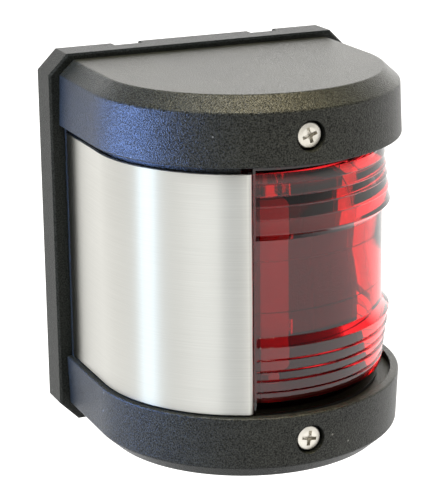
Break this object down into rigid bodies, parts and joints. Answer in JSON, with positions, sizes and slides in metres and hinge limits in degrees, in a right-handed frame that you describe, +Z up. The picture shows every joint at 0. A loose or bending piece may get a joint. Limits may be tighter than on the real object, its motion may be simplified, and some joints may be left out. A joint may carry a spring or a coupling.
{
  "type": "navigation light",
  "caption": "Bulkhead sidelight: chamfered back plate, D-shaped black housing with red ribbed lens, brushed steel side shield, festoon lamp carrier and recessed cross-head cover screws.",
  "frame": {"origin": "centre of the back plate's back face, which lies against the bulkhead", "axes": "+X to the right seen from the front, +Y back into the bulkhead, +Z up"},
  "size_m": [0.077, 0.068, 0.09],
  "materials": {
    "black_plastic": "spark-eroded grain",
    "housing_plastic": "spark-eroded grain",
    "foam_rubber": "closed-cell foam",
    "seal_rubber": "moulded",
    "seal_silicone": "black silicone",
    "brass": "turned",
    "contact_brass": "rolled spring brass",
    "pale_plastic": "moulded",
    "screen_plastic": "moulded, satin",
    "screw_steel": "stainless, polished head",
    "plated_steel": "nickel plated",
    "brushed_steel": "brushed along its width",
    "tape_foam": "acrylic foam tape",
    "red_lens": "clear red, polished",
    "clear_glass": "clear",
    "tungsten": "drawn wire"
  },
  "bodies": {
    "back_plate": {"base_plate": "black_plastic", "rear_gasket": "foam_rubber", "housing_seal": "seal_rubber", "cable_grommet": "seal_rubber", "threaded_inserts": "brass", "lamp_carrier": "pale_plastic", "carrier_screws": "screw_steel", "upper_contact": "contact_brass", "lower_contact": "contact_brass", "contact_rivets": "plated_steel", "terminal_clamps": "plated_steel", "terminal_screws": "screw_steel"},
    "cover": {"front_housing": "housing_plastic", "lens": "red_lens", "lens_seals": "seal_silicone", "steel_shield": "brushed_steel", "shield_tape": "tape_foam", "cutoff_screen": "screen_plastic"},
    "upper_washer": {"top_washer": "seal_rubber"},
    "upper_screw": {"top_screw": "screw_steel"},
    "lower_washer": {"bottom_washer": "seal_rubber"},
    "lower_screw": {"bottom_screw": "screw_steel"},
    "bulb": {"bulb_glass": "clear_glass", "bulb_caps": "plated_steel", "bulb_filament": "tungsten"}
  },
  "joints": [
    {"name": "cover_lift_off", "type": "slide", "parent": "back_plate", "child": "cover", "axis": [0, -1, 0], "range_m": [0, 0.065]},
    {"name": "bulb_unclip", "type": "slide", "parent": "back_plate", "child": "bulb", "axis": [0, -1, 0], "range_m": [0, 0.01]},
    {"name": "upper_screw_travel", "type": "slide", "parent": "cover", "child": "upper_washer", "axis": [0, -1, 0], "range_m": [0, 0.006]},
    {"name": "upper_screw_turn", "type": "hinge", "parent": "upper_washer", "child": "upper_screw", "pos_m": [0, -0.06, 0.0346], "axis": [0, -1, 0], "range_deg": [0, 4321]},
    {"name": "lower_screw_travel", "type": "slide", "parent": "cover", "child": "lower_washer", "axis": [0, -1, 0], "range_m": [0, 0.006]},
    {"name": "lower_screw_turn", "type": "hinge", "parent": "lower_washer", "child": "lower_screw", "pos_m": [0, -0.06, -0.0346], "axis": [0, -1, 0], "range_deg": [0, 4321]}
  ],
  "couplings": [
    {"joint": "upper_screw_turn", "follows": "upper_screw_travel", "rad_per_m": 12566},
    {"joint": "lower_screw_turn", "follows": "lower_screw_travel", "rad_per_m": 12566}
  ]
}
